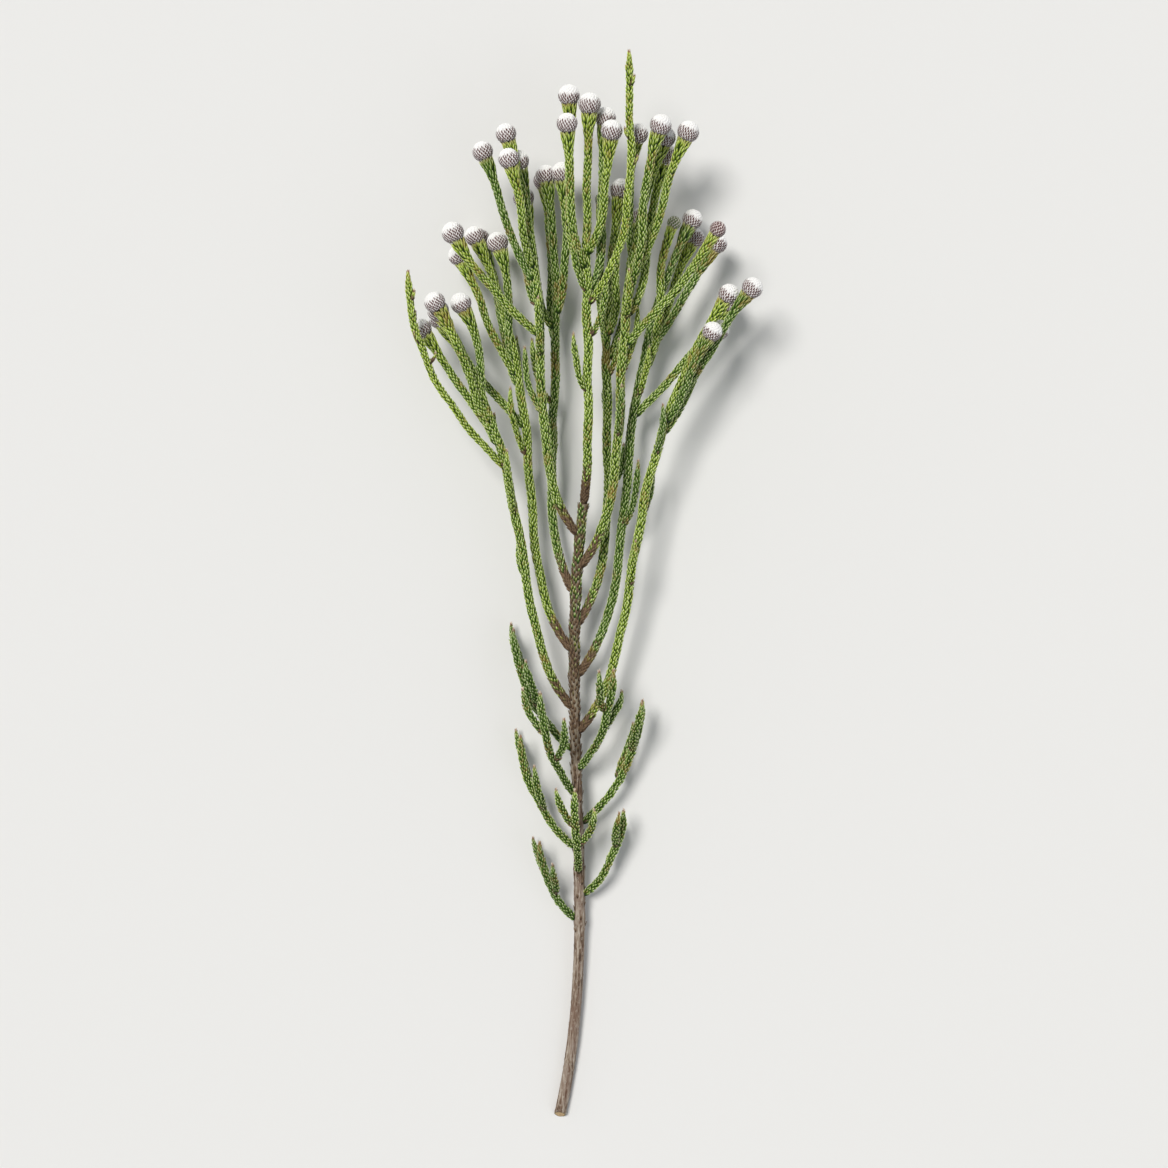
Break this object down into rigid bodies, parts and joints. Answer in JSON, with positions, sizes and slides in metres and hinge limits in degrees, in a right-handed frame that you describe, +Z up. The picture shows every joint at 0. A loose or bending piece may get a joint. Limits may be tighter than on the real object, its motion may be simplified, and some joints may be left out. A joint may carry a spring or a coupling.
{
  "type": "brunia stem",
  "caption": "Cut flowering branch lying down: woody stem, braided scale-leaf twigs and a round silvery button head on each twig.",
  "frame": {"origin": "on the surface the stem lies on, under the middle of its bounding box", "axes": "+Y along the stem from the cut end to the heads, +X across the crown, +Z up from the surface"},
  "size_m": [0.1924, 0.613, 0.0725],
  "materials": {
    "bark": "rough grey-brown bark with ring scars",
    "scale_leaf": "small overlapping green scale leaves, satin",
    "woolly_head": "short white wool over purple-brown bract tips, matt"
  },
  "bodies": {
    "root": {"woody_stem": "bark", "spray_1": "scale_leaf", "head_1_1": "woolly_head", "head_1_2": "woolly_head", "head_1_3": "woolly_head", "head_1_4": "woolly_head", "head_1_5": "woolly_head", "spray_2": "scale_leaf", "head_2_1": "woolly_head", "head_2_2": "woolly_head", "head_2_3": "woolly_head", "head_2_4": "woolly_head", "head_2_5": "woolly_head", "spray_3": "scale_leaf", "head_3_1": "woolly_head", "head_3_2": "woolly_head", "head_3_3": "woolly_head", "head_3_4": "woolly_head", "head_3_5": "woolly_head", "head_3_6": "woolly_head", "spray_4": "scale_leaf", "head_4_1": "woolly_head", "head_4_2": "woolly_head", "head_4_3": "woolly_head", "head_4_4": "woolly_head", "spray_5": "scale_leaf", "head_5_1": "woolly_head", "head_5_2": "woolly_head", "head_5_3": "woolly_head", "head_5_4": "woolly_head", "spray_6": "scale_leaf", "head_6_1": "woolly_head", "head_6_2": "woolly_head", "head_6_3": "woolly_head", "head_6_4": "woolly_head", "head_6_5": "woolly_head", "spray_7": "scale_leaf", "head_7_1": "woolly_head", "head_7_2": "woolly_head", "head_7_3": "woolly_head", "head_7_4": "woolly_head", "head_7_5": "woolly_head", "spray_8": "scale_leaf", "head_8_1": "woolly_head", "head_8_2": "woolly_head", "head_8_3": "woolly_head", "head_8_4": "woolly_head", "spray_9": "scale_leaf", "head_9_1": "woolly_head", "head_9_2": "woolly_head", "head_9_3": "woolly_head", "head_9_4": "woolly_head", "side_twig_1": "scale_leaf", "side_twig_2": "scale_leaf", "side_twig_3": "scale_leaf", "side_twig_4": "scale_leaf", "side_twig_5": "scale_leaf", "side_twig_6": "scale_leaf", "side_twig_7": "scale_leaf", "side_twig_8": "scale_leaf"}
  },
  "joints": []
}
